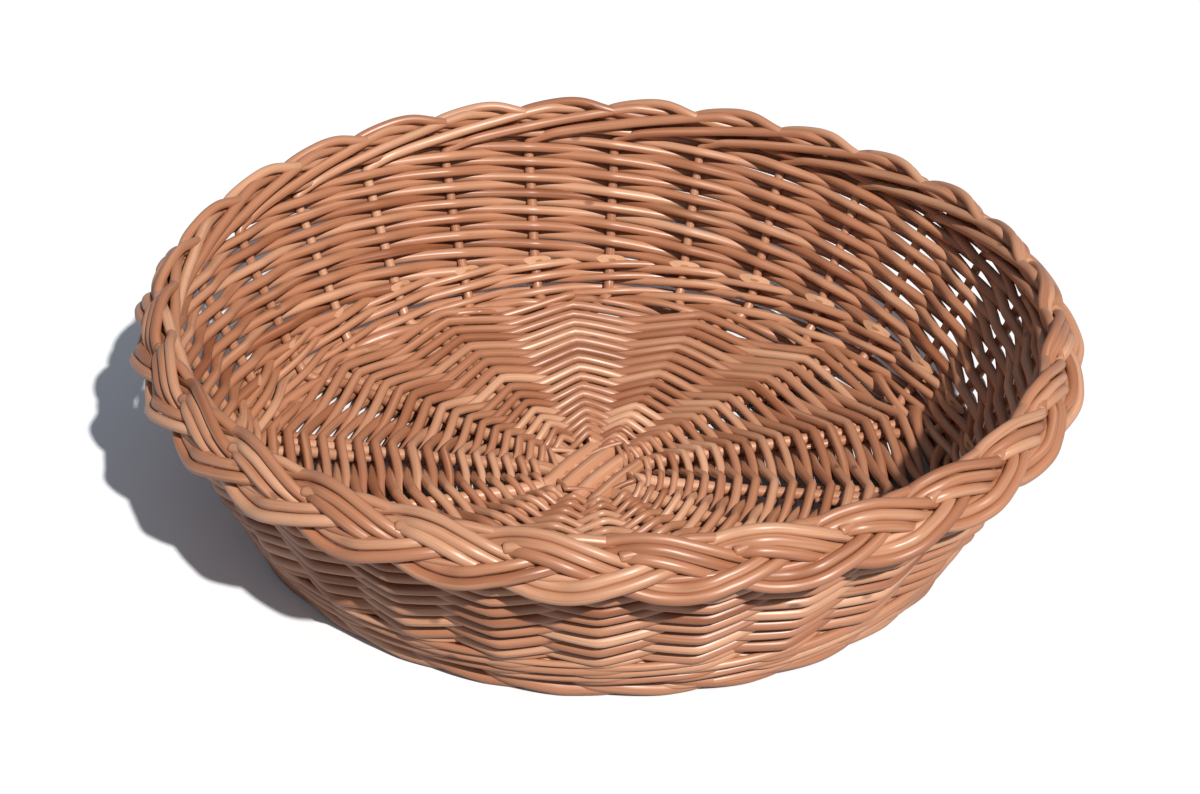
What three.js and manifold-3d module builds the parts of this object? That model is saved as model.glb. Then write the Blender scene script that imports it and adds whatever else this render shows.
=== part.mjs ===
// Round woven willow basket with flared sides and a plaited border.
// Millimetres, +Z up, origin at the centre of the underside.

import * as THREE from "three";
import { mergeVertices } from "three/addons/utils/BufferGeometryUtils.js";
import Module from "manifold-3d";

const wasm = await Module();
wasm.setup();

// Overall
const STAKES = 28;
const BAY = (2 * Math.PI) / STAKES;
const FIRST_STAKE = Math.PI / 2;
const GAP = 0.3;
const CHANNEL_OVERRUN = 4.0;

// Bottom sticks: four split ones, with three threaded through the splits
const STICK_WIDTH = 7.2;
const STICK_DEPTH = 7.0;
const STICK_LEVEL = 7.0;
const STICK_END_RADIUS = 146.0;
const SPLIT_HALF_DEPTH = 1.6;
const SPLIT_HALF_LENGTH = 11.9;
const SPLIT_GROUP_AZIMUTH = THREE.MathUtils.degToRad(57.86);
const SPLIT_OFFSETS = [-12.3, -4.1, 4.1, 12.3];
const SPLIT_FAN = [-38.571, -12.857, 12.857, 38.571];
const SPLIT_GROUP_HALF_WIDTH = 16.5;
const THREAD_OFFSETS = [-7.8, 0.0, 7.8];
const THREAD_FAN = [-25.714, 0.0, 25.714];
const SLATH_HALF_LENGTH = 17.5;

// Woven bottom
const BOTTOM_LOW = 1.2;
const BOTTOM_HIGH = 12.8;
const BOTTOM_RADII = [20.0, 34.0, 92.0, 147.4];
const BOTTOM_SEGMENTS = 28;

// Foot round under the upsett
const FOOT_PROFILE = [
  [149.0, 1.6],
  [150.4, 0.0],
  [156.4, 0.0],
  [157.8, 2.6],
  [157.2, 6.4],
  [153.6, 7.2],
  [149.6, 5.4],
];

// Side wall centre line
const WALL_LOW_RADIUS = 156.6;
const WALL_LOW_HEIGHT = 13.5;
const WALL_SLOPE = 0.5285;
const WALL_CURVE = 0.00065;

// Stakes
const STAKE_HALF_WIDTH = 2.3;
const STAKE_TIP_RADIUS = 97.0;
const STAKE_TIP_TURN = THREE.MathUtils.degToRad(2.0);
const STAKE_TOP = 82.6;

// Courses of rods that pass in front of and behind the stakes by turns
const SEGMENTS = 56;
const UPSETT_LEVELS = [17.4, 22.7];
const UPSETT_HALF_HEIGHT = 2.4;
const SIDING_FIRST = 28.5;
const SIDING_PITCH = 6.7;
const SIDING_COURSES = 8;
const SIDING_HALF_HEIGHT = 3.1;
const TOP_WALE_LEVEL = 81.2;
const TOP_WALE_HALF_HEIGHT = 1.8;

// Plaited border
const BORDER_SEGMENTS = 56;
const BORDER_SCALLOP = 0.9;
const BORDER_PROFILE = [
  [196.2, 67.6],
  [198.6, 68.4],
  [199.1, 82.0],
  [197.4, 92.0],
  [192.0, 98.1],
  [184.6, 99.0],
  [178.6, 95.4],
  [177.4, 88.6],
  [181.4, 84.2],
  [196.2, 84.2],
];

const WILLOW = new THREE.MeshStandardMaterial({ color: 0xc08a62, roughness: 0.48, metalness: 0.0 });
const STICK_WILLOW = new THREE.MeshStandardMaterial({ color: 0xb07850, roughness: 0.5, metalness: 0.0 });
const STAKE_WILLOW = new THREE.MeshStandardMaterial({ color: 0xb98059, roughness: 0.5, metalness: 0.0 });
const BORDER_WILLOW = new THREE.MeshStandardMaterial({ color: 0xc9926b, roughness: 0.42, metalness: 0.0 });

/** A path whose stations are the given points, mitred at each bend. */
class RodPath extends THREE.Curve {
  constructor(points) {
    super();
    this.points = points;
  }

  getPoint(t, target = new THREE.Vector3()) {
    const last = this.points.length - 1;
    const station = Math.min(Math.floor(t * last), last - 1);
    return target.lerpVectors(this.points[station], this.points[station + 1], t * last - station);
  }

  getPointAt(t, target) {
    return this.getPoint(t, target);
  }

  getTangentAt(t, target = new THREE.Vector3()) {
    const last = this.points.length - 1;
    const station = Math.round(t * last);
    const before = this.points[Math.max(station - 1, 0)];
    const after = this.points[Math.min(station + 1, last)];
    return target.subVectors(after, before).normalize();
  }
}

/** Radius of the side wall's centre line at height z. */
function wallRadius(z) {
  const rise = z - WALL_LOW_HEIGHT;
  return WALL_LOW_RADIUS + WALL_SLOPE * rise - WALL_CURVE * rise * rise;
}

/** Radius of the side wall's rods at height z, thinner towards their tips. */
function rodHalfWidth(z) {
  return 2.0 - 0.0115 * (z - WALL_LOW_HEIGHT);
}

/** Point at a radius, an azimuth and a height. */
function polar(radius, azimuth, z) {
  return new THREE.Vector3(radius * Math.cos(azimuth), radius * Math.sin(azimuth), z);
}

/** Weld a geometry to its positions alone and turn its faces outward. */
function welded(source) {
  const bare = source.clone();
  bare.deleteAttribute("normal");
  bare.deleteAttribute("uv");
  const solid = mergeVertices(bare, 1e-4);
  const spot = solid.attributes.position;
  const index = solid.index.array;
  const corners = [new THREE.Vector3(), new THREE.Vector3(), new THREE.Vector3()];
  let volume = 0;
  for (let i = 0; i < index.length; i += 3) {
    corners.forEach((corner, k) => corner.fromBufferAttribute(spot, index[i + k]));
    volume += corners[0].dot(corners[1].clone().cross(corners[2]));
  }
  if (volume < 0) {
    for (let i = 0; i < index.length; i += 3) {
      const swap = index[i];
      index[i] = index[i + 1];
      index[i + 1] = swap;
    }
  }
  return solid;
}

/** Manifold solid of a geometry. */
function toSolid(geometry) {
  const ready = welded(geometry);
  return new wasm.Manifold(
    new wasm.Mesh({
      numProp: 3,
      vertProperties: new Float32Array(ready.attributes.position.array),
      triVerts: new Uint32Array(ready.index.array),
    }),
  );
}

/** Geometry of a manifold solid. */
function toGeometry(solid) {
  const mesh = solid.getMesh();
  const geometry = new THREE.BufferGeometry();
  geometry.setAttribute("position", new THREE.BufferAttribute(mesh.vertProperties, 3));
  geometry.setIndex(new THREE.BufferAttribute(mesh.triVerts, 1));
  return geometry;
}

/** Outline with flats above and below, sides wide across and deep tall. */
function rodOutline(halfWidth, halfDepth) {
  const shoulder = 0.55 * halfWidth;
  return new THREE.Shape([
    new THREE.Vector2(0, halfWidth),
    new THREE.Vector2(-halfDepth, shoulder),
    new THREE.Vector2(-halfDepth, -shoulder),
    new THREE.Vector2(0, -halfWidth),
    new THREE.Vector2(halfDepth, -shoulder),
    new THREE.Vector2(halfDepth, shoulder),
  ]);
}

/** Rod of constant outline along a path. */
function rod(points, halfWidth, halfDepth) {
  return new THREE.ExtrudeGeometry(rodOutline(halfWidth, halfDepth), {
    steps: points.length - 1,
    extrudePath: new RodPath(points),
    bevelEnabled: false,
  });
}

/** Solid that clears a rod all round and runs on past both its ends. */
function channel(points, halfWidth, halfDepth) {
  const run = points.map((point) => point.clone());
  const last = run.length - 1;
  run[0].lerpVectors(points[1], points[0], 1 + CHANNEL_OVERRUN / points[1].distanceTo(points[0]));
  run[last].lerpVectors(
    points[last - 1],
    points[last],
    1 + CHANNEL_OVERRUN / points[last - 1].distanceTo(points[last]),
  );
  return toSolid(rod(run, halfWidth + GAP, halfDepth + GAP));
}

/** Closed ring of a profile of [radius, height] corners, about +Z. */
function ring(profile, segments) {
  const corners = profile.map(([radius, z]) => new THREE.Vector2(radius, z));
  corners.push(corners[0].clone());
  return welded(new THREE.LatheGeometry(corners, segments).rotateX(Math.PI / 2));
}

/** Move a ring's vertices in or out by a function of their azimuth. */
function ripple(geometry, shift) {
  const spot = geometry.attributes.position;
  for (let i = 0; i < spot.count; i += 1) {
    const x = spot.getX(i);
    const y = spot.getY(i);
    const scale = 1 + shift(Math.atan2(y, x)) / Math.hypot(x, y);
    spot.setXY(i, x * scale, y * scale);
  }
  return geometry;
}

/** Course that passes inside one stake and outside the next all the way round. */
function course(level, halfHeight, phase) {
  const low = level - halfHeight;
  const high = level + halfHeight;
  const half = rodHalfWidth(level);
  const reach = STAKE_HALF_WIDTH + half + 3 * GAP;
  const profile = [
    [wallRadius(low) - half, low],
    [wallRadius(low) + half, low],
    [wallRadius(high) + half, high],
    [wallRadius(high) - half, high],
  ];
  const weave = (azimuth) => reach * Math.cos((STAKES / 2) * (azimuth - FIRST_STAKE) + phase);
  return ripple(ring(profile, SEGMENTS), weave);
}

/** Plan of one bottom stick: parallel in the slath, fanned out beyond it. */
function stickPath(groupAzimuth, offset, fan) {
  const reach = STICK_END_RADIUS;
  const turn = THREE.MathUtils.degToRad(fan);
  const plan = [
    [-reach * Math.cos(turn), reach * Math.sin(turn)],
    [-SLATH_HALF_LENGTH, offset],
    [SLATH_HALF_LENGTH, offset],
    [reach * Math.cos(turn), reach * Math.sin(turn)],
  ];
  const along = new THREE.Vector2(Math.cos(groupAzimuth), Math.sin(groupAzimuth));
  return plan.map(
    ([u, v]) => new THREE.Vector3(u * along.x - v * along.y, u * along.y + v * along.x, STICK_LEVEL),
  );
}

/** Route of one stake: beside a bottom stick, up at the edge, then up the wall. */
function stakePath(number) {
  const azimuth = FIRST_STAKE + number * BAY;
  const lean = number % 2 === 0 ? STAKE_TIP_TURN : -STAKE_TIP_TURN;
  return [
    polar(STAKE_TIP_RADIUS, azimuth + lean, STICK_LEVEL),
    polar(142.6, azimuth, STICK_LEVEL),
    polar(150.6, azimuth, 9.5),
    polar(WALL_LOW_RADIUS, azimuth, WALL_LOW_HEIGHT),
    polar(wallRadius(30), azimuth, 30),
    polar(wallRadius(56), azimuth, 56),
    polar(wallRadius(STAKE_TOP), azimuth, STAKE_TOP),
  ];
}

/** Box cutter in the slath, set square to a group of sticks. */
function slathCutter(length, width, depth, azimuth, z) {
  const box = new THREE.BoxGeometry(length, width, depth);
  box.rotateZ(azimuth);
  box.translate(0, 0, z);
  return toSolid(box);
}

const basket = new THREE.Group();

/** Add one named piece to the basket. */
function addPiece(name, geometry, material) {
  const mesh = new THREE.Mesh(geometry, material);
  mesh.name = name;
  basket.add(mesh);
}

// Bottom sticks
const threadAzimuth = SPLIT_GROUP_AZIMUTH + Math.PI / 2;
const channels = [];
const split = slathCutter(
  2 * SPLIT_HALF_LENGTH,
  4 * SPLIT_GROUP_HALF_WIDTH,
  2 * SPLIT_HALF_DEPTH,
  SPLIT_GROUP_AZIMUTH,
  STICK_LEVEL,
);
SPLIT_OFFSETS.forEach((offset, i) => {
  const path = stickPath(SPLIT_GROUP_AZIMUTH, offset, SPLIT_FAN[i]);
  const stick = toSolid(rod(path, STICK_WIDTH / 2, STICK_DEPTH / 2));
  addPiece(`bottom_stick_split_${i + 1}`, toGeometry(stick.subtract(split)), STICK_WILLOW);
  channels.push(channel(path, STICK_WIDTH / 2, STICK_DEPTH / 2));
});

const thinHalf = SPLIT_HALF_DEPTH - GAP;
const cheekLength = 2 * SPLIT_GROUP_HALF_WIDTH;
const cheekAbove = slathCutter(cheekLength, 60, 6, threadAzimuth, STICK_LEVEL + thinHalf + 3);
const cheekBelow = slathCutter(cheekLength, 60, 6, threadAzimuth, STICK_LEVEL - thinHalf - 3);
THREAD_OFFSETS.forEach((offset, i) => {
  const path = stickPath(threadAzimuth, offset, THREAD_FAN[i]);
  const stick = toSolid(rod(path, STICK_WIDTH / 2, STICK_DEPTH / 2));
  const thinned = stick.subtract(cheekAbove).subtract(cheekBelow);
  addPiece(`bottom_stick_threaded_${i + 1}`, toGeometry(thinned), STICK_WILLOW);
  channels.push(channel(path, STICK_WIDTH / 2, STICK_DEPTH / 2));
});

// Stakes
for (let i = 0; i < STAKES; i += 1) {
  const path = stakePath(i);
  const stake = rod(path, STAKE_HALF_WIDTH, STAKE_HALF_WIDTH);
  addPiece(`side_stake_${String(i + 1).padStart(2, "0")}`, welded(stake), STAKE_WILLOW);
  channels.push(channel(path, STAKE_HALF_WIDTH, STAKE_HALF_WIDTH));
}

// Woven bottom, in rounds with a channel for each stick and stake
const bottomRounds = ["slath_binding", "bottom_pairing_inner", "bottom_weave_outer"];
const room = wasm.Manifold.union(channels);
bottomRounds.forEach((name, i) => {
  const inner = BOTTOM_RADII[i] + (i > 0 ? GAP : 0);
  const outer = BOTTOM_RADII[i + 1];
  const profile = [
    [inner, BOTTOM_LOW],
    [outer, BOTTOM_LOW],
    [outer, BOTTOM_HIGH],
    [inner, BOTTOM_HIGH],
  ];
  addPiece(name, toGeometry(toSolid(ring(profile, BOTTOM_SEGMENTS)).subtract(room)), WILLOW);
});

// Foot, upsett, siding and top wale
addPiece("foot_wale", ring(FOOT_PROFILE, SEGMENTS), WILLOW);
UPSETT_LEVELS.forEach((level, i) => {
  addPiece(`upsett_wale_${i + 1}`, course(level, UPSETT_HALF_HEIGHT, i * Math.PI), WILLOW);
});
for (let i = 0; i < SIDING_COURSES; i += 1) {
  const level = SIDING_FIRST + i * SIDING_PITCH;
  addPiece(`siding_course_${i + 1}`, course(level, SIDING_HALF_HEIGHT, i * Math.PI), WILLOW);
}
addPiece("top_wale", course(TOP_WALE_LEVEL, TOP_WALE_HALF_HEIGHT, 0), WILLOW);

// Plaited border, scalloped once to each stake
const scallop = (azimuth) => BORDER_SCALLOP * Math.cos(STAKES * (azimuth - FIRST_STAKE));
addPiece("plaited_border", ripple(ring(BORDER_PROFILE, BORDER_SEGMENTS), scallop), BORDER_WILLOW);

export default basket;
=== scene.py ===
"""Woven willow basket with a plaited border: the visual model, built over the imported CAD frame."""
import logging
from dataclasses import dataclass, replace
from enum import Enum

import bpy
import numpy as np
from mathutils import Matrix, Vector


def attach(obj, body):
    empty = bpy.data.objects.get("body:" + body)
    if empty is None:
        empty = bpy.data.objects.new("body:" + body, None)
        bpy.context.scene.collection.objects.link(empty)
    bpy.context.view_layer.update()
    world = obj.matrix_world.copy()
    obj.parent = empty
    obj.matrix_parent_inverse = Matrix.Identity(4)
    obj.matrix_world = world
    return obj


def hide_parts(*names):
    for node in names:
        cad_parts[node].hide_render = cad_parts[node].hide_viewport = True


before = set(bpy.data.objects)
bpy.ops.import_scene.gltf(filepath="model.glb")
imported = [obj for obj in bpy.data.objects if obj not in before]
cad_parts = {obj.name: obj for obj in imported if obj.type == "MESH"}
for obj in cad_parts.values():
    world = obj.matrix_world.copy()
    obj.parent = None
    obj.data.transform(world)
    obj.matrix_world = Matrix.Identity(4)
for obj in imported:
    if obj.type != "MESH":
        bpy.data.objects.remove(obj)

LOG = logging.getLogger("basket")
MM = 0.001
BODY = "root"
Array = np.ndarray
Numbers = tuple[float, ...]
Colour = tuple[float, float, float, float]
Triple = tuple[float, float, float]
Socket = bpy.types.NodeSocket


class Cut(Enum):
    """How the first end of a rod is cut; the other is square."""

    SQUARE = "square"
    SLANTED = "slanted"


@dataclass(frozen=True)
class Form:
    """Sizes that every part of the weave shares, in millimetres and degrees."""

    stakes: int = 28
    first_stake: float = 90.0
    stick_level: float = 7.2
    wall_foot: float = 13.5
    wall_start: float = 156.6
    wall_lean: float = 0.5285
    wall_bend: float = 0.00065
    bottom_edge: float = 150.0
    drift_x: float = -4.6
    drift_y: float = -5.5

    @property
    def bay(self) -> float:
        """Angle from one stake to the next, in radians."""
        return 2.0 * np.pi / self.stakes

    def stake_angle(self, place: Array) -> Array:
        """Azimuth in radians of a place counted in stakes anticlockwise from the first."""
        return np.radians(self.first_stake) + self.bay * np.asarray(place, float)

    def beside_wall(self, height: Array, offset: Array, angle: Array) -> Array:
        """Points beside the wall's middle: the offset is square to the leaning wall, outward and down.

        Args:
            height: height of the wall's middle beside the point.
            offset: distance from the wall's middle, negative inside the basket.
            angle: azimuth in radians.

        Returns:
            The points (..., 3).
        """
        rise = np.asarray(height, float) - self.wall_foot
        lean = np.arctan(self.wall_lean - 2.0 * self.wall_bend * rise)
        radius = self.wall_radius(height) + offset * np.cos(lean)
        return polar(radius, angle, height - offset * np.sin(lean))

    def drifted(self, path: Array) -> Array:
        """Moves points of the bottom as the hand-made cross lies a little off the middle.

        Args:
            path: points (..., 3).

        Returns:
            The points with the drift added: all of it in the middle, a third of it at the edge.
        """
        away = np.hypot(path[..., 0], path[..., 1]) / self.bottom_edge
        share = np.clip(1.0 - 0.67 * away**2, 0.0, 1.0) * np.clip((1.05 - away) / 0.12, 0.0, 1.0)
        drift = np.array([self.drift_x, self.drift_y, 0.0])
        return path + share[..., None] * drift

    def wall_radius(self, height: Array) -> Array:
        """Radius of the stakes' centre line: a line that leans out, and bends in a little."""
        rise = np.asarray(height, float) - self.wall_foot
        return self.wall_start + self.wall_lean * rise - self.wall_bend * rise**2


def polar(radius: Array, angle: Array, height: Array) -> Array:
    """Points from cylindrical coordinates.

    Args:
        radius: distance from the basket's axis, in millimetres.
        angle: azimuth in radians.
        height: height over the ground, in millimetres.

    Returns:
        The same shape with a last axis of x, y and z.
    """
    radius, angle, height = np.broadcast_arrays(radius, angle, height)
    return np.stack([radius * np.cos(angle), radius * np.sin(angle), height], axis=-1)


def kinked(phase: Array, tightness: float = 0.985) -> Array:
    """A wave of period 2 between +1 at even phases and -1 at odd ones: straight arms, rounded kinks.

    Args:
        phase: where on the wave.
        tightness: near 1 the kinks are sharp, near 0 the wave is a cosine.

    Returns:
        The wave's value: the arcsine of a slightly flattened cosine, scaled to unit height.
    """
    return np.arcsin(tightness * np.cos(np.pi * phase)) / np.arcsin(tightness)


def wander(rng: np.random.Generator, count: int, along: Array, size: float, rate: float) -> Array:
    """Slow hand-made irregularity: three sine waves with random phases on each rod.

    Args:
        rng: seeded random numbers.
        count: how many rods.
        along: (rods, points) or (points,) place along the rod.
        size: largest amount.
        rate: waves for each unit of along.

    Returns:
        (rods, points) offsets.
    """
    along = np.broadcast_to(along, (count, np.shape(along)[-1]))
    total = np.zeros(along.shape)
    for part, weight in ((1.0, 0.5), (1.83, 0.3), (3.1, 0.2)):
        phase = rng.uniform(0.0, 2.0 * np.pi, (count, 1))
        total += weight * np.sin(2.0 * np.pi * rate * part * along + phase)
    return size * total


@dataclass
class Rods:
    """A batch of willow rods with the same number of points each.

    path is (rods, points, 3) in millimetres, radius (rods, points), outward (rods, points, 3) the
    side away from a slanted cut, and tone (rods,) the shade of each rod from 0, dark, to 1, pale.
    """

    path: Array
    radius: Array
    outward: Array
    tone: Array
    start: Cut = Cut.SQUARE
    sides: int = 12
    cut_length: float = 14.0

    def pick(self, which: Array | list[int]) -> "Rods":
        """The batch that holds just the chosen rods."""
        return replace(self, path=self.path[which], radius=self.radius[which],
                       outward=self.outward[which], tone=self.tone[which])


def unit(vectors: Array) -> Array:
    """Vectors scaled to length one."""
    return vectors / np.maximum(np.linalg.norm(vectors, axis=-1, keepdims=True), 1e-9)


class RodMesher:
    """Turns a batch of rods into one mesh: a round section carried along each path.

    Each ring is path + R (a cos f + b sin f), where a is the outward side made square to the path,
    and b is the path's direction crossed with a. A slanted cut limits the section to the outer side
    of a plane that leaves the rod over its cut length: the angle f stops where the circle meets the
    plane, and the two corners at the back of the ring lie on the plane. Square ends get a small rim
    and a flat face.
    """

    BACK_CORNER = 0.07
    BACK_NEIGHBOUR = 0.2
    CUT_START = 0.93
    CUT_DROP = 1.93
    FACE_SHARE = 0.96
    END_SHARE = 0.9
    END_RISE = 0.12

    def __init__(self, rods: Rods) -> None:
        """Works out the angles of the corners round a ring.

        Args:
            rods: the batch.
        """
        self.rods = rods
        self.count, self.points = rods.radius.shape
        self.sides = rods.sides
        self.turn = 2.0 * np.pi * np.arange(self.sides) / self.sides
        self.back = np.zeros(self.sides, bool)
        if rods.start is Cut.SLANTED:
            half = self.sides // 2
            arm = np.append(np.linspace(0.0, np.pi - self.BACK_NEIGHBOUR, half - 1),
                            np.pi - self.BACK_CORNER)
            self.turn = np.concatenate([arm, -arm[:0:-1]])
            self.sides = len(self.turn)
            self.back = np.abs(self.turn) > np.pi - 1.5 * self.BACK_CORNER

    def rings(self) -> tuple[Array, Array, Array]:
        """Works out every ring of every rod.

        Returns:
            Positions (rods, rings, sides, 3), grain coordinates and cut coordinates of that shape.
        """
        rods = self.rods
        tangent = unit(np.gradient(rods.path, axis=1))
        side = unit(rods.outward - np.sum(rods.outward * tangent, -1, keepdims=True) * tangent)
        cross = np.cross(tangent, side)
        step = np.linalg.norm(np.diff(rods.path, axis=1), axis=-1)
        length = np.concatenate([np.zeros((self.count, 1)), np.cumsum(step, axis=1)], axis=1)
        radius = rods.radius[:, :, None]
        turn = self.turn + 0.0 * radius
        along_side = radius * np.cos(turn)
        along_cross = radius * np.sin(turn)
        mask = np.zeros_like(along_side)
        place = np.zeros_like(along_side)
        if rods.start is Cut.SLANTED:
            share = np.clip(length / rods.cut_length, 0.0, 1.0)[:, :, None]
            plane = radius * (self.CUT_START - self.CUT_DROP * share)
            edge = np.arccos(np.clip(plane / radius, -1.0, 1.0))
            stopped = np.clip(turn, -edge, edge)
            flat = self.back & (share < 1.0)
            mask = np.where(flat, 1.0, mask)
            place = np.where(share < 1.0, 2.0 * share - 1.0, place)
            along_cross = radius * np.sin(stopped) * np.where(flat, self.FACE_SHARE, 1.0)
            along_side = np.where(flat, plane, radius * np.cos(stopped))
        position = (rods.path[:, :, None] + along_side[..., None] * side[:, :, None]
                    + along_cross[..., None] * cross[:, :, None])
        run = np.broadcast_to(length[:, :, None], mask.shape)
        shift = 7.3 * np.arange(self.count)[:, None, None] + 31.0 * rods.tone[:, None, None]
        grain = np.stack([run * MM + shift, along_side * MM, along_cross * MM], axis=-1)
        face = np.stack([place, along_cross / radius, mask], axis=-1)
        return position, grain, face

    def caps(self, position: Array, grain: Array, face: Array) -> tuple[Array, Array, Array]:
        """Adds the rim ring of each end before the first and after the last ring.

        Args:
            position: ring positions.
            grain: grain coordinates.
            face: cut coordinates.

        Returns:
            The three arrays with two more rings.
        """
        def rim(ring: Array, inner: Array) -> Array:
            """Shrinks an end ring about its centre and moves it away from its neighbour.

            Args:
                ring: the end ring.
                inner: the ring next to it.

            Returns:
                The rim ring.
            """
            centre = ring.mean(axis=2, keepdims=True)
            push = unit(centre - inner.mean(axis=2, keepdims=True)) * self.END_RISE
            return centre + (ring - centre) * self.END_SHARE + push

        first = rim(position[:, :1], position[:, 1:2])
        last = rim(position[:, -1:], position[:, -2:-1])
        corners = np.stack([self.END_SHARE * np.cos(self.turn), self.END_SHARE * np.sin(self.turn),
                            np.ones(self.sides)], -1)
        end_face = np.broadcast_to(corners, (self.count, 1, self.sides, 3))
        return (np.concatenate([first, position, last], axis=1),
                np.concatenate([grain[:, :1], grain, grain[:, -1:]], axis=1),
                np.concatenate([end_face, face, end_face], axis=1))

    def faces(self, rings: int) -> tuple[Array, Array]:
        """Vertex numbers of the quads round each rod and of the triangles on its ends.

        Args:
            rings: rings in each rod.

        Returns:
            Quads (n, 4) and triangles (n, 3), all facing out.
        """
        rod = np.arange(self.count)[:, None, None] * (rings * self.sides + 2)
        ring = np.arange(rings - 1)[None, :, None] * self.sides
        here = np.arange(self.sides)[None, None, :]
        following = (here + 1) % self.sides
        quads = np.stack([rod + ring + here, rod + ring + following,
                          rod + ring + self.sides + following, rod + ring + self.sides + here], -1)
        base, here, following = rod[:, 0], here[0], following[0]
        last = (rings - 1) * self.sides
        centre = base + rings * self.sides + 0 * here
        start = np.stack([centre, base + following, base + here], -1)
        end = np.stack([centre + 1, base + last + here, base + last + following], -1)
        return quads.reshape(-1, 4), np.concatenate([start.reshape(-1, 3), end.reshape(-1, 3)])

    def build(self, name: str, material: bpy.types.Material) -> bpy.types.Object:
        """Makes the Blender object, with its grain, cut and tone attributes.

        Args:
            name: the piece's name.
            material: its finish.

        Returns:
            The new object, at the origin, in metres.
        """
        position, grain, face = self.caps(*self.rings())
        rings = position.shape[1]
        ends = [0, rings - 1]
        middle = position[:, ends].mean(axis=2)
        middle_grain = grain[:, ends].mean(axis=2)
        middle_face = np.broadcast_to([0.0, 0.0, 1.0], (self.count, 2, 3))

        def joined(ring: Array, centre: Array) -> Array:
            """Puts each rod's two end centres after its rings, in one list."""
            return np.concatenate([ring.reshape(self.count, -1, 3), centre], axis=1).reshape(-1, 3)

        quads, triangles = self.faces(rings)
        cut = joined(face, middle_face)
        flat = cut[quads, 2].min(axis=1) > 0.5
        mesh = bpy.data.meshes.new(name)
        vertices = joined(position, middle) * MM
        mesh.vertices.add(len(vertices))
        mesh.vertices.foreach_set("co", vertices.astype(np.float32).ravel())
        corners = np.concatenate([quads.ravel(), triangles.ravel()])
        mesh.loops.add(len(corners))
        mesh.loops.foreach_set("vertex_index", corners.astype(np.int32))
        starts = np.concatenate([4 * np.arange(len(quads)),
                                 4 * len(quads) + 3 * np.arange(len(triangles))])
        mesh.polygons.add(len(starts))
        mesh.polygons.foreach_set("loop_start", starts.astype(np.int32))
        smooth = np.concatenate([~flat, np.zeros(len(triangles), bool)])
        mesh.update(calc_edges=True)
        mesh.polygons.foreach_set("use_smooth", smooth)
        tone = np.repeat(self.rods.tone, rings * self.sides + 2)
        for label, values in (("grain", joined(grain, middle_grain)), ("cut", cut)):
            data = mesh.attributes.new(label, "FLOAT_VECTOR", "POINT").data
            data.foreach_set("vector", values.astype(np.float32).ravel())
        mesh.attributes.new("tone", "FLOAT", "POINT").data.foreach_set(
            "value", tone.astype(np.float32))
        mesh.validate()
        mesh.materials.append(material)
        obj = bpy.data.objects.new(name, mesh)
        bpy.context.scene.collection.objects.link(obj)
        return obj


@dataclass(frozen=True)
class WillowFinish:
    """One shade of stripped, boiled willow: colours are linear, lengths in metres."""

    name: str
    slot: str
    body: Triple = (0.40, 0.170, 0.089)
    pale: Triple = (0.60, 0.33, 0.20)
    deep: Triple = (0.23, 0.070, 0.026)
    roughness: float = 0.40
    coat: float = 0.30
    coat_roughness: float = 0.32
    streaks: float = 0.55
    relief: float = 0.35
    relief_depth: float = 0.0004
    bending: float = 1.48

    def material(self, groups: "WillowShading") -> bpy.types.Material:
        """Makes the material.

        Args:
            groups: the shared shader groups.

        Returns:
            A node material with this finish's values.
        """
        material = bpy.data.materials.new(self.name)
        material.use_nodes = True
        tree = material.node_tree
        shader = tree.nodes["Principled BSDF"]
        willow = tree.nodes.new("ShaderNodeGroup")
        willow.node_tree = groups.willow
        for label in ("grain", "cut", "tone"):
            node = tree.nodes.new("ShaderNodeAttribute")
            node.attribute_name = label
            output = "Fac" if label == "tone" else "Vector"
            tree.links.new(node.outputs[output], willow.inputs[label.capitalize()])
        bump = tree.nodes.new("ShaderNodeBump")
        for node, label, value in (
            (willow, "Body", (*self.body, 1.0)), (willow, "Pale", (*self.pale, 1.0)),
            (willow, "Deep", (*self.deep, 1.0)), (willow, "Streaks", self.streaks),
            (willow, "Roughness", self.roughness), (bump, "Strength", self.relief),
            (bump, "Distance", self.relief_depth), (bump, "Height", willow.outputs["Height"]),
            (shader, "Normal", bump.outputs["Normal"]), (shader, "Base Color", willow.outputs["Color"]),
            (shader, "Roughness", willow.outputs["Roughness"]), (shader, "IOR", self.bending),
            (shader, "Coat Weight", self.coat), (shader, "Coat Roughness", self.coat_roughness),
        ):
            NodeWriter(tree).feed(node.inputs[label], value)
        return material


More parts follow.
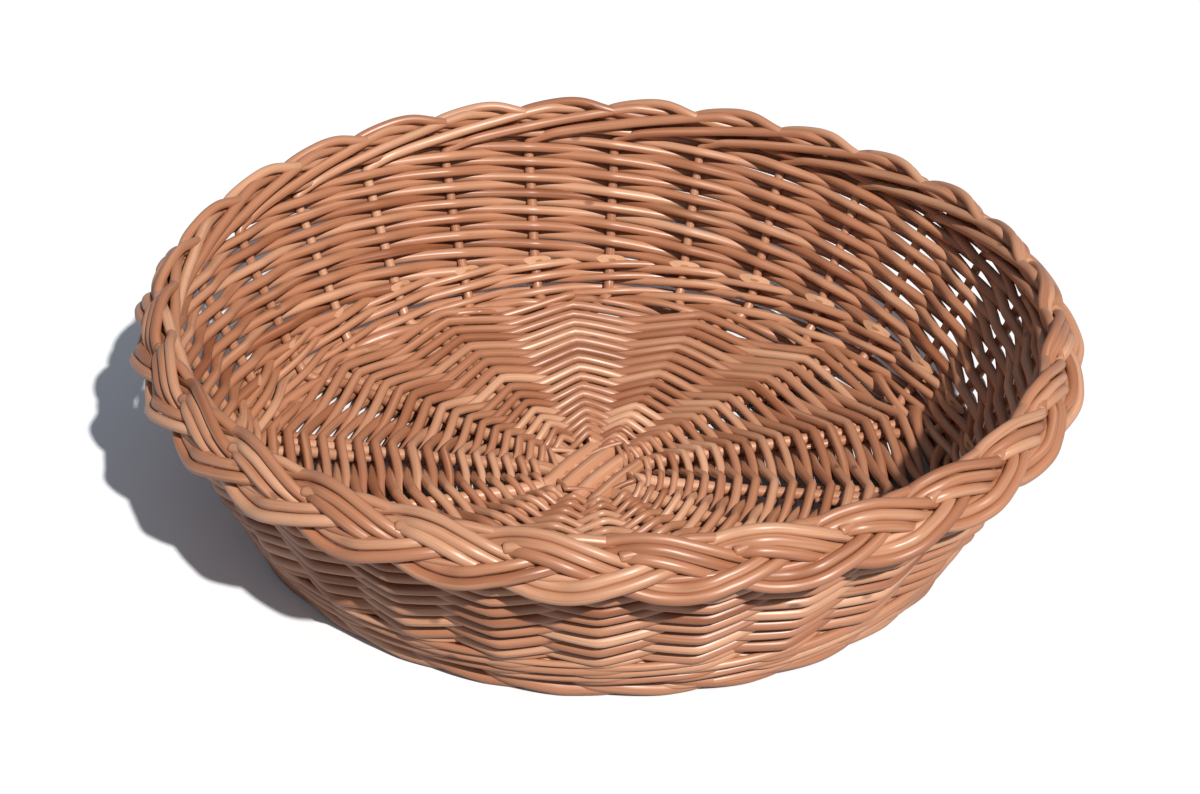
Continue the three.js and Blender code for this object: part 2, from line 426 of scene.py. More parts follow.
class NodeWriter:
    """Writes nodes into a group in short calls."""

    def __init__(self, tree: bpy.types.NodeTree) -> None:
        """Keeps the tree that is written."""
        self.tree = tree

    def node(self, kind: str, settings: dict[str, object], **inputs: object) -> bpy.types.Node:
        """Adds one node.

        Args:
            kind: the node's type name after ShaderNode.
            settings: attributes to set on it.
            inputs: values or output sockets for its inputs, by name with _ for a space.

        Returns:
            The node.
        """
        node = self.tree.nodes.new("ShaderNode" + kind)
        for key, value in settings.items():
            setattr(node, key, value)
        for key, value in inputs.items():
            self.feed(node.inputs[key.replace("_", " ")], value)
        return node

    def feed(self, socket: Socket, value: object) -> None:
        """Links an output to a socket, or sets its value.

        Args:
            socket: the input.
            value: the output socket or the plain value.
        """
        if isinstance(value, Socket):
            self.tree.links.new(value, socket)
        else:
            socket.default_value = value

    def math(self, operation: str, *values: object) -> Socket:
        """Adds a Math node.

        Args:
            operation: its operation.
            values: up to three values or sockets.

        Returns:
            Its output.
        """
        node = self.node("Math", {"operation": operation})
        for place, value in enumerate(values):
            self.feed(node.inputs[place], value)
        return node.outputs[0]

    def vector(self, x: object, y: object, z: object) -> Socket:
        """Adds a Combine XYZ node and returns its output."""
        return self.node("CombineXYZ", {}, X=x, Y=y, Z=z).outputs[0]

    def ramp(self, value: object, low: float, high: float) -> Socket:
        """Adds a smooth step.

        Args:
            value: what is stepped.
            low: where the step is 0.
            high: where the step is 1.

        Returns:
            Its output.
        """
        settings = {"interpolation_type": "SMOOTHSTEP"}
        node = self.node("MapRange", settings, Value=value, From_Min=low, From_Max=high)
        return node.outputs["Result"]

    def mix(self, share: object, first: object, second: object) -> Socket:
        """Adds a colour mix.

        Args:
            share: how much of the second colour.
            first: the first colour.
            second: the second colour.

        Returns:
            Its colour.
        """
        node = self.node("Mix", {"data_type": "RGBA"})
        for place, value in ((0, share), (6, first), (7, second)):
            self.feed(node.inputs[place], value)
        return node.outputs[2]


@dataclass(frozen=True)
class CutWood:
    """Wood on the cut ends and in the bud scars: colours are linear, lengths in metres."""

    light: Colour = (0.57, 0.31, 0.18, 1.0)
    dark: Colour = (0.46, 0.22, 0.115, 1.0)
    pith: Colour = (0.33, 0.15, 0.055, 1.0)
    scar: Colour = (0.10, 0.030, 0.012, 1.0)
    bud_spacing: float = 0.062
    bud_depth: float = 0.0019


class WillowShading:
    """The group that every willow finish uses: fibres, mottling, bud scars, cut ends with pith."""

    def __init__(self) -> None:
        """Builds the group, with Color, Roughness and Height outputs."""
        self.wood = CutWood()
        self.willow = bpy.data.node_groups.new("Willow skin and cut ends", "ShaderNodeTree")
        self.add_sockets()
        write = self.write = NodeWriter(self.willow)
        self.given = self.willow.nodes.new("NodeGroupInput").outputs
        self.cut = write.node("SeparateXYZ", {}, Vector=self.given["Cut"]).outputs
        self.fibres = self.noise(16.0, 1500.0, 3.0, 0.6)
        self.mottle = self.noise(60.0, 500.0, 3.0, 0.6)
        self.shown = write.ramp(self.cut["Z"], 0.45, 0.6)
        self.scar = self.bud_scar()
        result = self.willow.nodes.new("NodeGroupOutput")
        colour = write.mix(self.shown, self.skin_colour(), self.wood_colour())
        rough, height = self.surface()
        for label, value in (("Color", colour), ("Roughness", rough), ("Height", height)):
            write.feed(result.inputs[label], value)

    def add_sockets(self) -> None:
        """Names the group's inputs and outputs."""
        for way, kind, labels in (("INPUT", "Color", ("Body", "Pale", "Deep")),
                                  ("INPUT", "Vector", ("Grain", "Cut")),
                                  ("INPUT", "Float", ("Tone", "Streaks", "Roughness")),
                                  ("OUTPUT", "Color", ("Color",)),
                                  ("OUTPUT", "Float", ("Roughness", "Height"))):
            for label in labels:
                self.willow.interface.new_socket(label, in_out=way, socket_type="NodeSocket" + kind)

    def noise(self, along: float, across: float, detail: float, rough: float = 0.5) -> Socket:
        """Adds noise on the grain coordinates.

        Args:
            along: features to the metre along the rod.
            across: features to the metre across it.
            detail: how many finer layers it has.
            rough: how strong they are.

        Returns:
            Its value.
        """
        scale = self.write.node("VectorMath", {"operation": "MULTIPLY"})
        self.write.feed(scale.inputs[0], self.given["Grain"])
        scale.inputs[1].default_value = (along, across, across)
        return self.write.node("TexNoise", {}, Vector=scale.outputs[0], Scale=1.0, Detail=detail,
                               Roughness=rough).outputs["Fac"]

    def length(self, x: object, y: object, z: object) -> Socket:
        """The length of a vector."""
        vector = self.write.vector(x, y, z)
        return self.write.node("VectorMath", {"operation": "LENGTH"}, Vector=vector).outputs["Value"]

    def bud_scar(self) -> Socket:
        """Masks a bud scar on a random side of some joints, one joint to each bud spacing.

        Returns:
            The mask.
        """
        write, wood = self.write, self.wood
        grain = write.node("SeparateXYZ", {}, Vector=self.given["Grain"]).outputs
        joint = write.math("MULTIPLY", grain["X"], 1.0 / wood.bud_spacing)
        within = write.math("SUBTRACT", write.math("FRACT", joint), 0.5)
        dice = write.node("TexWhiteNoise", {"noise_dimensions": "1D"}, W=write.math("FLOOR", joint))
        random = write.node("SeparateColor", {}, Color=dice.outputs["Color"]).outputs
        spin = write.math("MULTIPLY", random["Red"], 6.2832)
        side = write.math("MULTIPLY", write.math("COSINE", spin), wood.bud_depth)
        cross = write.math("MULTIPLY", write.math("SINE", spin), wood.bud_depth)
        gap = self.length(write.math("MULTIPLY", within, wood.bud_spacing / 2.2),
                          write.math("SUBTRACT", grain["Y"], side),
                          write.math("SUBTRACT", grain["Z"], cross))
        scar = write.math("SUBTRACT", 1.0, write.ramp(gap, 0.0006, 0.0016))
        return write.math("MULTIPLY", scar, write.ramp(random["Green"], 0.62, 0.8))

    def skin_colour(self) -> Socket:
        """Colours the skin: deep to pale by the rod's tone, with streaks, blots and scars.

        Returns:
            The colour.
        """
        write, given = self.write, self.given
        broad = self.noise(9.0, 380.0, 2.0)
        slow = self.noise(5.0, 40.0, 1.0)
        drift = write.math("MULTIPLY", write.math("SUBTRACT", slow, 0.5), 1.3)
        tone = write.math("ADD", given["Tone"], drift)
        colour = write.mix(write.ramp(tone, 0.0, 0.55), given["Deep"], given["Body"])
        colour = write.mix(write.ramp(tone, 0.55, 1.25), colour, given["Pale"])
        light = write.math("MULTIPLY", write.ramp(broad, 0.5, 0.75), given["Streaks"])
        colour = write.mix(light, colour, given["Pale"])
        dark = write.math("MULTIPLY", write.ramp(self.fibres, 0.52, 0.72), given["Streaks"])
        colour = write.mix(write.math("MULTIPLY", dark, 0.7), colour, given["Deep"])
        blot = write.math("MULTIPLY", write.ramp(self.mottle, 0.58, 0.75), 0.25)
        colour = write.mix(blot, colour, given["Deep"])
        return write.mix(write.math("MULTIPLY", self.scar, 0.6), colour, self.wood.scar)

    def wood_colour(self) -> Socket:
        """Colours a cut end: fibres, and an oval of pith in the middle.

        Returns:
            The colour.
        """
        write, wood = self.write, self.wood
        fibre = write.math("MULTIPLY", write.ramp(self.fibres, 0.4, 0.7), 0.4)
        away = self.length(self.cut["X"], self.cut["Y"], 0.0)
        pith = write.math("SUBTRACT", 1.0, write.ramp(away, 0.22, 0.34))
        return write.mix(pith, write.mix(fibre, wood.light, wood.dark), wood.pith)

    def surface(self) -> tuple[Socket, Socket]:
        """Varies the roughness with the mottling, and adds up fibres, mottling and scars as relief.

        Returns:
            The roughness, higher on the cut ends, and the height.
        """
        write = self.write
        uneven = write.math("MULTIPLY", write.math("SUBTRACT", self.mottle, 0.5), 0.35)
        rough = write.math("ADD", self.given["Roughness"], uneven)
        rough = write.math("MAXIMUM", rough, write.math("MULTIPLY", self.shown, 0.75))
        height = write.math("ADD", self.fibres, write.math("MULTIPLY", self.mottle, 0.6))
        return rough, write.math("ADD", height, write.math("MULTIPLY", self.scar, 0.8))


@dataclass
class Assembly:
    """A part of the basket that shares one finish and reports the pieces that it makes."""

    form: Form
    finish: WillowFinish
    groups: WillowShading

    def __post_init__(self) -> None:
        """Makes the finish's material."""
        self.material = self.finish.material(self.groups)

    def place(self, name: str, rods: Rods, *nodes: str) -> bpy.types.Object:
        """Meshes a batch as one piece that stands for CAD nodes.

        Args:
            name: the piece's name.
            rods: its rods.
            nodes: the CAD nodes that it stands for.

        Returns:
            The finished piece.
        """
        piece = RodMesher(rods).build(name, self.material)
        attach(piece, BODY)
        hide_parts(*nodes)
        LOG.info("%s: %d faces", name, len(piece.data.polygons))
        return piece


@dataclass
class Sticks(Assembly):
    """The seven bottom sticks: four split ones crossed by three that are threaded through them."""

    split_azimuth: float = 57.86
    split_offsets: Numbers = (12.3, 4.1, -4.1, -12.3)
    split_fan: Numbers = (38.571, 12.857, -12.857, -38.571)
    thread_offsets: Numbers = (7.8, 0.0, -7.8)
    thread_fan: Numbers = (25.714, 0.0, -25.714)
    end_radius: float = 146.5
    straight: float = 17.5
    softness: float = 0.0012
    split_stations: Numbers = (0.0, 22.0, 60.0, 147.0)
    split_sizes: Numbers = (3.75, 3.5, 2.8, 2.35)
    thread_stations: Numbers = (0.0, 14.0, 22.0, 60.0, 147.0)
    thread_sizes: Numbers = (2.6, 2.8, 3.4, 2.7, 2.35)
    hump: float = 1.1
    hump_reach: float = 15.0
    points: int = 121
    seed: int = 11

    def paths(self, azimuth: float, offsets: Array, fan: Array) -> Array:
        """Centre lines of one group: straight and side by side over the slath, then fanned out.

        Args:
            azimuth: the group's direction in degrees.
            offsets: each stick's place across the group.
            fan: the angle in degrees by which each end turns from the group's direction.

        Returns:
            (sticks, points, 3) paths.
        """
        s = np.linspace(-1.0, 1.0, self.points)[None, :]
        reach = self.end_radius * np.cos(np.radians(fan))[:, None]
        across_end = self.end_radius * np.sin(np.radians(fan))[:, None]
        x = s * reach
        share = np.clip((np.abs(x) - self.straight) / (reach - self.straight), 0.0, None)
        soft = np.sqrt(share**2 + self.softness) - np.sqrt(self.softness)
        soft = soft / (np.sqrt(1.0 + self.softness) - np.sqrt(self.softness))
        y = offsets[:, None] + soft * (across_end - offsets[:, None])
        turn = np.radians(azimuth)
        flat = np.stack([x * np.cos(turn) - y * np.sin(turn), x * np.sin(turn) + y * np.cos(turn)], -1)
        return np.concatenate([flat, np.full(x.shape + (1,), self.form.stick_level)], axis=-1)

    def build(self) -> list[bpy.types.Object]:
        """Makes the seven sticks. The split ones hump a little over the threaded ones.

        Returns:
            The pieces.
        """
        rng = np.random.default_rng(self.seed)
        pieces = []
        for kind, azimuth, offsets, fan, stations, sizes in (
            ("split", self.split_azimuth, self.split_offsets, self.split_fan,
             self.split_stations, self.split_sizes),
            ("threaded", self.split_azimuth + 90.0, self.thread_offsets, self.thread_fan,
             self.thread_stations, self.thread_sizes),
        ):
            path = self.paths(azimuth, np.array(offsets), np.array(fan))
            away = np.hypot(path[..., 0], path[..., 1])
            radius = np.interp(away, stations, sizes)
            if kind == "split":
                path[..., 2] += self.hump * np.exp(-(away / self.hump_reach) ** 4)
            path = self.form.drifted(path)
            up = np.broadcast_to([0.0, 0.0, 1.0], path.shape)
            tone = rng.uniform(0.45, 0.85, len(path))
            rods = Rods(path, radius, up, tone, sides=14)
            for index in range(len(path)):
                pieces.append(self.place(f"bottom_stick_{kind}_piece_{index + 1}", rods.pick([index]),
                                         f"bottom_stick_{kind}_{index + 1}"))
        return pieces


@dataclass
class Pairing(Assembly):
    """Rounds of two rods that twist about each other between the spokes, worked outward."""

    inner_radius: float = 22.5
    outer_radius: float = 149.5
    rod_stations: Numbers = (20.0, 45.0, 80.0, 150.0)
    rod_sizes: Numbers = (1.45, 1.85, 2.2, 2.3)
    lift: float = 4.7
    round_step: float = 3.65
    belly: float = 1.06
    thinning: float = 0.16
    twist: float = 0.94
    rod_bays: int = 16
    points: int = 14
    seed: int = 3
    corners: int = 14
    corner_angle: float = 96.43

    def spiral(self) -> tuple[Array, Array]:
        """Works outward bay by bay: every round is nearly two rods wider than the last.

        Returns:
            Radius and rod radius at each bay.
        """
        radii = [self.inner_radius]
        while radii[-1] < self.outer_radius:
            radii.append(radii[-1] + self.round_step / self.corners * self.rod_at(radii[-1]))
        return np.array(radii), self.rod_at(radii)

    def rod_at(self, radius: Array) -> Array:
        """Rod radius used at a distance from the middle."""
        return np.interp(radius, self.rod_stations, self.rod_sizes)

    def rods(self) -> Rods:
        """Works out the rods of both strands.

        A strand's radius is that of the spiral plus almost one rod radius times a sine that takes it
        from the inner to the outer side while it passes over a spoke; its height swings by the lift.
        Between two spokes the spiral is a chord, so the rods are straight and kink at each spoke.

        Returns:
            The rods, from the middle outward in each strand.
        """
        rng = np.random.default_rng(self.seed)
        radii, sizes = self.spiral()
        total = len(radii) - 1
        strands = [np.arange(k + 1 - self.rod_bays, total - 1, self.rod_bays) for k in (0, 1)]
        first = np.concatenate(strands)
        strand = (first % 2 == 0).astype(float)[:, None]
        begin, finish = np.clip(first, 0, total), np.clip(first + self.rod_bays, 0, total)
        along = np.linspace(0.0, 1.0, self.rod_bays * self.points + 1)[None, :]
        bays = begin[:, None] + (finish - begin)[:, None] * along
        thick = self.belly - self.thinning * np.abs(2.0 * along - 1.0)
        size = np.interp(bays, np.arange(total + 1), sizes) * thick
        swing = bays + strand
        half = np.pi / self.corners
        chord = np.cos(half) / np.cos(half - 2.0 * half * np.abs(bays - np.round(bays)))
        radius = np.interp(bays, np.arange(total + 1), radii) * chord
        radius = radius + self.twist * size * np.sin(np.pi * swing)
        radius = radius + wander(rng, len(bays), bays, 0.35, 0.21)
        height = self.form.stick_level + self.lift * kinked(swing, 0.985) * (size / 2.2) ** 0.3
        height = np.maximum(height + wander(rng, len(bays), bays, 0.25, 0.37), size + 0.4)
        path = polar(radius, np.radians(self.corner_angle) - bays * 2.0 * half, height)
        path = self.form.drifted(path)
        up = np.broadcast_to([0.0, 0.0, 1.0], path.shape)
        return Rods(path, size, up, rng.uniform(0.25, 1.0, len(path)), sides=10)

    def build(self, name: str, node: str, inside: float = 0.0,
              outside: float = 200.0) -> bpy.types.Object:
        """Makes the rods that lie between two radii.

        Args:
            name: the piece's name.
            node: the CAD node that it stands for.
            inside: least mean radius of a rod.
            outside: greatest mean radius of a rod.

        Returns:
            The piece.
        """
        rods = self.rods()
        away = np.hypot(rods.path[..., 0], rods.path[..., 1]).mean(axis=1)
        return self.place(name, rods.pick((away >= inside) & (away < outside)), node)


@dataclass
class Stakes(Assembly):
    """The twenty-eight stakes: in beside a bottom stick, up the wall, and along inside the border.

    Sweep is how far a stake has turned round the edge inside the border, in bays.
    """

    foot_radius: Numbers = (97.0, 120.0, 142.6, 150.6, 156.0)
    foot_height: Numbers = (7.0, 7.0, 7.0, 9.2, 13.3)
    wall_span: tuple[float, float] = (18.0, 77.0)
    border_radius: Numbers = (184.9, 182.9, 183.0, 185.8, 190.5)
    border_height: Numbers = (82.0, 86.6, 91.4, 94.8, 90.5)
    border_sweep: Numbers = (0.3, 0.95, 1.65, 2.25, 2.85)
    sweep_radius: float = 185.0
    point_length: float = 12.0
    sizes: Triple = (1.0, 2.4, 2.25)
    beside_stick: float = 4.9
    spoke_edge: float = 153.0
    spoke_run: float = 16.0
    points: int = 190
    seed: int = 5

    def profile(self) -> tuple[Array, Array, Array, Array]:
        """Samples a stake's centre line evenly, with its kinks eased.

        Returns:
            Distance along it, radius, height, and the angle swept round the edge, in radians.
        """
        form = self.form
        wall = np.linspace(*self.wall_span, 12)
        radius = np.concatenate([self.foot_radius, form.wall_radius(wall), self.border_radius])
        height = np.concatenate([self.foot_height, wall, self.border_height])
        below = len(height) - len(self.border_sweep)
        swept = np.concatenate([np.zeros(below), self.border_sweep]) * form.bay
        around = self.sweep_radius * np.diff(swept)
        steps = np.sqrt(np.diff(radius) ** 2 + np.diff(height) ** 2 + around**2)
        reach = np.concatenate([[0.0], np.cumsum(steps)])
        s = np.linspace(0.0, reach[-1], self.points)
        kernel = np.hanning(9) / np.hanning(9).sum()

        def eased(values: Array) -> Array:
            """Samples values evenly and smooths them with a short bell."""
            padded = np.pad(np.interp(s, reach, values), 4, mode="reflect", reflect_type="odd")
            return np.convolve(padded, kernel, mode="valid")

        return s, eased(radius), eased(height), eased(swept)

    def build(self) -> list[bpy.types.Object]:
        """Makes the stakes.

        Returns:
            The pieces.
        """
        rng = np.random.default_rng(self.seed)
        form = self.form
        s, radius, height, swept = self.profile()
        index = np.arange(form.stakes)[:, None]
        lean = np.where(index % 2 == 0, 1.0, -1.0)
        spoke_gap = form.bay / 2.0 - self.beside_stick / np.maximum(radius, 1.0)
        inward = np.clip((self.spoke_edge - radius) / self.spoke_run, 0.0, 1.0)
        angle = form.stake_angle(index) + lean * spoke_gap * inward - swept
        angle = angle + wander(rng, form.stakes, s / 60.0, 0.0022, 0.5)
        size = np.interp(s, [0.0, self.point_length, s[-1]], self.sizes)
        size = np.broadcast_to(size * rng.uniform(0.93, 1.07, index.shape), angle.shape)
        radius = np.broadcast_to(radius, angle.shape)
        path = form.drifted(polar(radius, angle, np.broadcast_to(height, angle.shape)))
        up = np.array([0.0, 0.0, 1.0])
        blend = np.clip((height - self.foot_height[0]) / 12.0, 0.0, 1.0)[None, :, None]
        outward = blend * polar(1.0, angle, 0.0) - (1.0 - blend) * up
        rods = Rods(path, size, outward, rng.uniform(0.45, 0.95, form.stakes))
        return [self.place(f"side_stake_piece_{i + 1:02d}", rods.pick([i]), f"side_stake_{i + 1:02d}")
                for i in range(form.stakes)]


@dataclass
class Wale(Assembly):
    """Three rods worked together, each in front of two stakes and behind one.

    Level is the height where it begins, rise the climb of one round, and begin the first stake. With
    a base radius it lies at that radius, round the foot, and turns in under the stakes' elbow.
    """

    level: float = 7.4
    rise: float = 5.6
    rounds: float = 3.0
    begin: float = 14.0
    rod: float = 1.95
    roll: float = 1.2
    base_radius: float = 0.0
    reach: float = 1.9
    climb_ease: float = 1.3
    bulge: float = 0.55
    swell: float = 0.12
    fade_in: float = 6.0
    fade_out: float = 10.0
    end_size: float = 0.7
    inside_thinning: float = 0.3
    inside_pull: float = 0.15
    elbow_out: float = 0.72
    elbow_down: float = 0.69
    points: int = 14
    seed: int = 8

    def build(self, name: str, *nodes: str) -> bpy.types.Object:
        """Makes the wale.

        Each strand is outside at two stakes and inside at the third, and rises as a screw that flattens
        out towards the end, where the rods also thin down. Roll is how far a rod climbs, or for a
        negative roll sinks, over the other rods while it is outside.

        Args:
            name: the piece's name.
            nodes: the CAD nodes that it stands for.

        Returns:
            The piece.
        """
        rng = np.random.default_rng(self.seed)
        form = self.form
        length = form.stakes * self.rounds
        s = np.linspace(0.0, length, int(length * self.points) + 1)[None, :]
        strand = np.arange(3)[:, None]
        phase = np.mod(s, 3.0) + 0.0 * strand
        gap = np.abs(np.mod(phase + 1.5, 3.0) - 1.5)
        side = np.sin(0.5 * np.pi * np.clip(2.0 * gap - 1.0, -1.0, 1.0))
        left = np.maximum(1.0 - (s + strand) / (length + 2.0), 0.0)
        height = self.level + self.rise * self.rounds * (1.0 - left**self.climb_ease)
        height = height + self.roll * np.sin(2.0 * np.pi * (phase - 1.5) / 3.0) * 1.1
        height = height + wander(rng, 3, s, 0.3, 0.2)
        bulge = self.bulge * self.rod * np.cos(2.0 * np.pi * (phase - 1.3) / 3.0)
        offset = side * (self.reach + self.rod) + wander(rng, 3, s, 0.3, 0.3)
        inside = np.clip(-side, 0.0, 1.0)
        angle = form.stake_angle(self.begin + s + strand)
        path = form.beside_wall(height, offset, angle)
        swell = 1.0 + self.swell * np.sin(2.0 * np.pi * s / 11.0 + strand * 2.1)
        taper = np.interp(s, [0.0, self.fade_in, length - self.fade_out, length],
                          [self.end_size, 1.0, 1.0, self.end_size])
        size = np.broadcast_to(self.rod * swell * taper, height.shape)
        if self.base_radius > 0.0:
            size = size * (1.0 - self.inside_thinning * inside)
            offset = offset * (1.0 - self.inside_pull * inside)
            height = np.maximum(height - self.elbow_down * offset, size + 0.1)
            path = polar(self.base_radius + self.elbow_out * offset + bulge, angle, height)
        outward = polar(1.0, angle, 0.0)
        rods = Rods(path, size, outward, rng.uniform(0.3, 0.9, 3), sides=12)
        return self.place(name, rods, *nodes)


@dataclass
class Siding(Assembly):
    """French randing: a rod starts inside each stake and climbs, in and out, to the right."""

    first_level: float = 24.5
    climb: float = 3.85
    ease: float = 0.02
    bays: float = 17.4
    overrun: float = 0.22
    butt: float = 2.4
    tip: float = 2.2
    stake_rod: float = 2.2
    stake_share: float = 0.85
    rod_share: float = 0.95
    cut_drop: float = 0.45
    points: int = 16
    seed: int = 21

    def build(self) -> list[bpy.types.Object]:
        """Makes one piece for each rod.

        The offset from the wall changes side at each stake: most of the stake's rod and its own.

        Returns:
            The pieces.
        """
        rng = np.random.default_rng(self.seed)
        form = self.form
        count = form.stakes
        butt = np.linspace(-self.overrun, 0.3, 30, endpoint=False)
        rest = np.linspace(0.3, self.bays, int(self.bays * self.points) + 1)
        layer = np.concatenate([butt, rest])[None, :]
        worn = np.maximum(layer, 0.0)
        height = self.first_level + self.climb * worn - self.ease * worn**2
        height = height + wander(rng, count, layer, 0.45, 0.16)
        size = np.interp(layer, [0.0, self.bays], [self.butt, self.tip])
        size = size * rng.uniform(0.92, 1.08, (count, 1))
        offset = -kinked(layer, 0.992) * (self.stake_share * self.stake_rod + self.rod_share * size)
        angle = form.stake_angle(np.arange(count)[:, None] + layer)
        path = form.beside_wall(height, offset, angle)
        outward = polar(1.0, angle, -self.cut_drop)
        rods = Rods(path, size, outward, rng.uniform(0.2, 0.95, count), start=Cut.SLANTED, sides=16)
        courses = [f"siding_course_{i + 1}" for i in range(8)]
        return [self.place(f"siding_rod_{i + 1:02d}", rods.pick([i]), *courses) for i in range(count)]


@dataclass
class Border(Assembly):
    """A plait of three strands round the edge: rods go down over the face in threes, back in twos."""

    centre_radius: float = 192.3
    centre_height: float = 86.8
    lean: float = 0.588
    upright: float = 0.809
    half_width: float = 7.9
    lift: float = 2.7
    rod: float = 2.35
    pitch: float = 1.93
    widening: Numbers = (0.0, 0.0, 0.6, 1.2, 0.0)
    lane_turns: Numbers = (-0.25, 0.0, 0.4, 0.6, 0.9, 1.1, 1.4, 1.6, 1.9, 2.1)
    lane_places: Numbers = (-1.7, -1.0, -1.0, -0.5, -0.5, 0.0, 0.0, 0.5, 0.5, 1.0)
    lane_lag: float = 0.04
    flattening: float = 1.5
    dropped_after: float = 2.4
    start: float = 1.25
    lead: float = 0.45
    bays: float = 7.55
    points: int = 26
    seed: int = 31

    def build(self) -> bpy.types.Object:
        """Makes the plait of one rod for each stake.

        A rod's place across the plait is minus a cosine of its progress, one for three bays, and its
        height over the plait's middle a flattened sine of twice that, a little early or late in the
        outer lanes: over first, under second. It starts on the upper lane, moves down lane by lane,
        and is dropped at the lower edge.

        Returns:
            The piece.
        """
        rng = np.random.default_rng(self.seed)
        form = self.form
        count = form.stakes
        s = np.linspace(-self.lead, self.bays, int((self.bays + self.lead) * self.points) + 1)[None, :]
        turn = s / 3.0
        across = -kinked(2.0 * turn, 0.78)
        lane = np.interp(turn, self.lane_turns, self.lane_places)
        swing = np.sin(4.0 * np.pi * (turn - self.lane_lag * lane * np.sin(2.0 * np.pi * turn)))
        flat = np.tanh(self.flattening * swing) / np.tanh(self.flattening)
        over = np.where(turn > self.dropped_after, -1.0, flat)
        width = np.interp(np.mod(turn, 1.0), [0.0, 0.25, 0.5, 0.75, 1.0],
                          np.add(self.half_width, self.widening))
        speed_across = width * 2.0 * np.pi / 3.0 * np.sin(2.0 * np.pi * turn)
        speed_round = self.centre_radius * form.bay
        tilt = np.arctan2(speed_across, speed_round)
        gap = lane * self.pitch * self.rod
        x = width * across - gap * np.cos(tilt)
        round_shift = gap * np.sin(tilt) / self.centre_radius
        size = self.rod * np.interp(s, [0.0, self.bays], [1.04, 0.92])
        size = size * rng.uniform(0.95, 1.05, (count, 1))
        y = self.lift * over + wander(rng, count, s, 0.25, 0.25)
        x = x + wander(rng, count, s, 0.35, 0.2)
        radius = self.centre_radius + self.lean * x + self.upright * y
        height = self.centre_height - self.upright * x + self.lean * y
        angle = form.stake_angle(self.start + np.arange(count)[:, None] + s) + round_shift
        path = polar(radius, angle, height)
        outward = self.upright * polar(1.0, angle, 0.0)
        outward[..., 2] += self.lean
        rods = Rods(path, size, outward, rng.uniform(0.3, 0.95, count), sides=14)
        return self.place("plaited_border_rods", rods, "plaited_border")


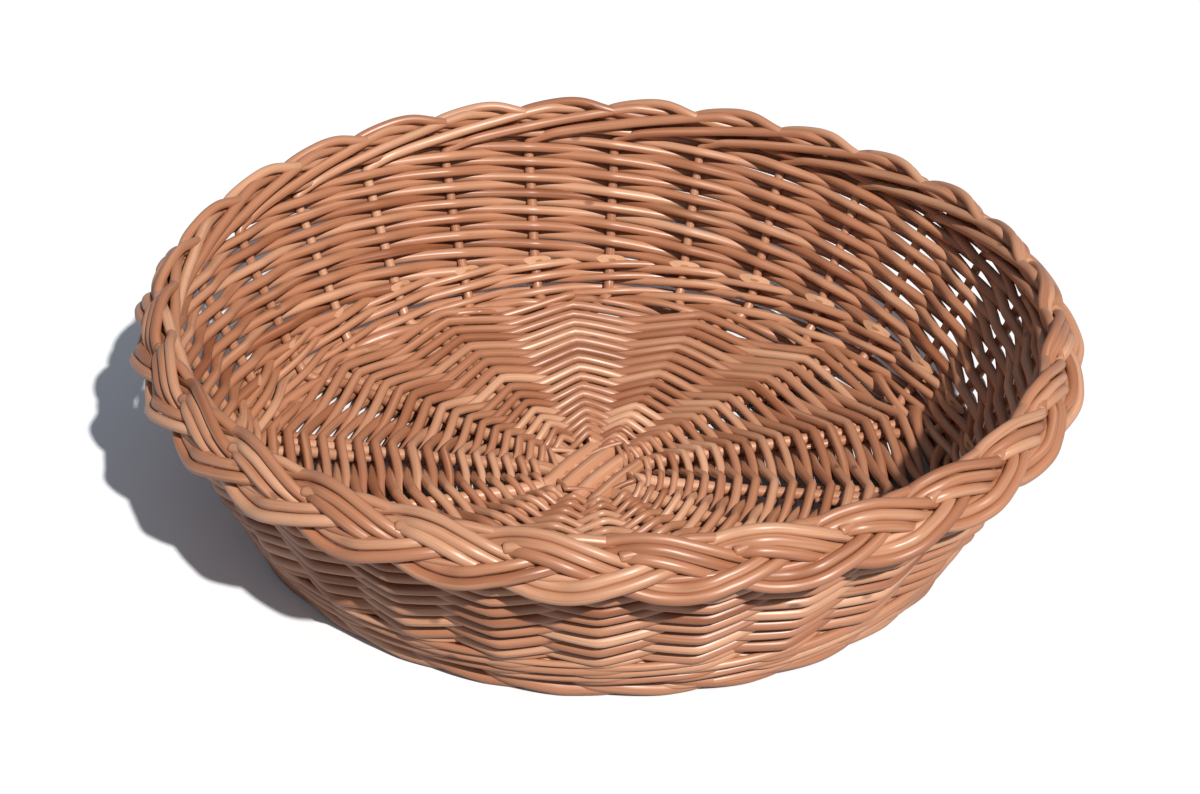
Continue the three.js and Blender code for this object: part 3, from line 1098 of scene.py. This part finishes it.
@dataclass
class Studio:
    """Pale floor, soft key light from the right front, and the camera."""

    camera_distance: float = 1.2145
    elevation: float = 31.16
    roll: float = 1.82
    aim_x: float = -0.00272
    aim_z: float = 0.04405
    lens: float = 84.0
    sensor: float = 36.0
    key_strength: float = 4.6
    key_angle: float = 1.5
    key_toward: Triple = (0.40, -0.84, 0.92)
    key_colour: Triple = (1.0, 0.97, 0.92)
    fill_strength: float = 0.27
    fill_colour: Colour = (0.80, 0.88, 1.0, 1.0)
    floor_half: float = 6.0
    floor_roughness: float = 0.9
    floor_seen: Colour = (0.86, 0.89, 0.93, 1.0)
    floor_bounce: Colour = (0.40, 0.40, 0.42, 1.0)

    def build(self) -> None:
        """Makes the floor, the lights and the camera."""
        self.floor()
        self.lights()
        self.camera()

    def floor(self) -> None:
        """Makes a large pale floor just under the basket, which lights it less than it shows."""
        mesh = bpy.data.meshes.new("studio_floor")
        size = self.floor_half
        corners = [(-size, -size, 0.0), (size, -size, 0.0), (size, size, 0.0), (-size, size, 0.0)]
        mesh.from_pydata(corners, [], [(0, 1, 2, 3)])
        material = bpy.data.materials.new("pale floor")
        material.use_nodes = True
        shader = material.node_tree.nodes["Principled BSDF"]
        tree = material.node_tree
        path = tree.nodes.new("ShaderNodeLightPath")
        shade = NodeWriter(tree).mix(path.outputs["Is Camera Ray"], self.floor_bounce, self.floor_seen)
        tree.links.new(shade, shader.inputs["Base Color"])
        shader.inputs["Roughness"].default_value = self.floor_roughness
        shader.inputs["Specular IOR Level"].default_value = 0.1
        mesh.materials.append(material)
        floor = bpy.data.objects.new("studio_floor", mesh)
        bpy.context.scene.collection.objects.link(floor)

    def lights(self) -> None:
        """Makes the key light and an even, cool surround."""
        key = bpy.data.lights.new("key", "SUN")
        key.energy = self.key_strength
        key.angle = np.radians(self.key_angle)
        key.color = self.key_colour
        lamp = bpy.data.objects.new("key", key)
        toward = Vector(self.key_toward).normalized()
        lamp.rotation_mode = "QUATERNION"
        lamp.rotation_quaternion = toward.to_track_quat("Z", "Y")
        bpy.context.scene.collection.objects.link(lamp)
        world = bpy.data.worlds.new("surround")
        world.use_nodes = True
        back = world.node_tree.nodes["Background"]
        back.inputs["Color"].default_value = self.fill_colour
        back.inputs["Strength"].default_value = self.fill_strength
        bpy.context.scene.world = world

    def camera(self) -> None:
        """Makes the camera, which looks at the basket from above its front."""
        rise = np.radians(self.elevation)
        roll = np.radians(self.roll)
        forward = Vector((0.0, np.cos(rise), -np.sin(rise)))
        right = Vector((1.0, 0.0, 0.0))
        up = right.cross(forward)
        across = np.cos(roll) * right + np.sin(roll) * up
        above = -np.sin(roll) * right + np.cos(roll) * up
        place = Vector((self.aim_x, 0.0, self.aim_z)) - self.camera_distance * forward
        data = bpy.data.cameras.new("camera")
        data.lens = self.lens
        data.sensor_width = self.sensor
        data.clip_start, data.clip_end = 0.05, 20.0
        camera = bpy.data.objects.new("camera", data)
        turn = Matrix((across, above, -forward)).transposed().to_4x4()
        camera.matrix_world = Matrix.Translation(place) @ turn
        bpy.context.scene.collection.objects.link(camera)
        bpy.context.scene.camera = camera


def main() -> None:
    """Builds the basket part by part, then the studio."""
    logging.basicConfig(level=logging.INFO, format="%(name)s %(message)s")
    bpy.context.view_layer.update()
    form = Form()
    groups = WillowShading()
    stick_skin = WillowFinish("stick willow", "willow_sticks", body=(0.50, 0.23, 0.125),
                              pale=(0.70, 0.42, 0.27), roughness=0.5)
    stake_skin = WillowFinish("stake willow", "willow_stakes")
    bottom_skin = WillowFinish("bottom willow", "willow_bottom_weave", body=(0.36, 0.146, 0.075))
    upsett_skin = WillowFinish("upsett willow", "willow_upsett")
    siding_skin = WillowFinish("siding willow", "willow_siding")
    border_skin = WillowFinish("border willow", "willow_border")

    Sticks(form, stick_skin, groups).build()
    bottom = Pairing(form, bottom_skin, groups)
    bottom.build("bottom_pairing_inner_rods", "bottom_pairing_inner", outside=92.0)
    bottom.build("bottom_weave_outer_rods", "bottom_weave_outer", inside=92.0)
    binding = Pairing(form, bottom_skin, groups, inner_radius=20.0, outer_radius=24.5,
                      rod_sizes=(1.1,) * 4, lift=5.6, corners=4, corner_angle=57.86, rod_bays=6,
                      points=24, seed=6)
    binding.build("slath_binding_rods", "slath_binding")
    Stakes(form, stake_skin, groups).build()
    Wale(form, upsett_skin, groups, level=7.6, rise=0.0, rounds=1.0 + 2.0 / 28.0, rod=3.1, roll=-2.0,
         begin=0.0, base_radius=150.0, seed=9).build("foot_wale_rods", "foot_wale")
    Wale(form, upsett_skin, groups).build("upsett_wale_rods", "upsett_wale_1", "upsett_wale_2")
    Siding(form, siding_skin, groups).build()
    Wale(form, siding_skin, groups, level=83.5, rise=1.0, rounds=1.0, rod=1.7, begin=0.0,
         seed=14).build("top_wale_rods", "top_wale")
    Border(form, border_skin, groups).build()
    Studio().build()
    bpy.context.scene.view_settings.view_transform = "Standard"


if __name__ == "__main__":
    main()
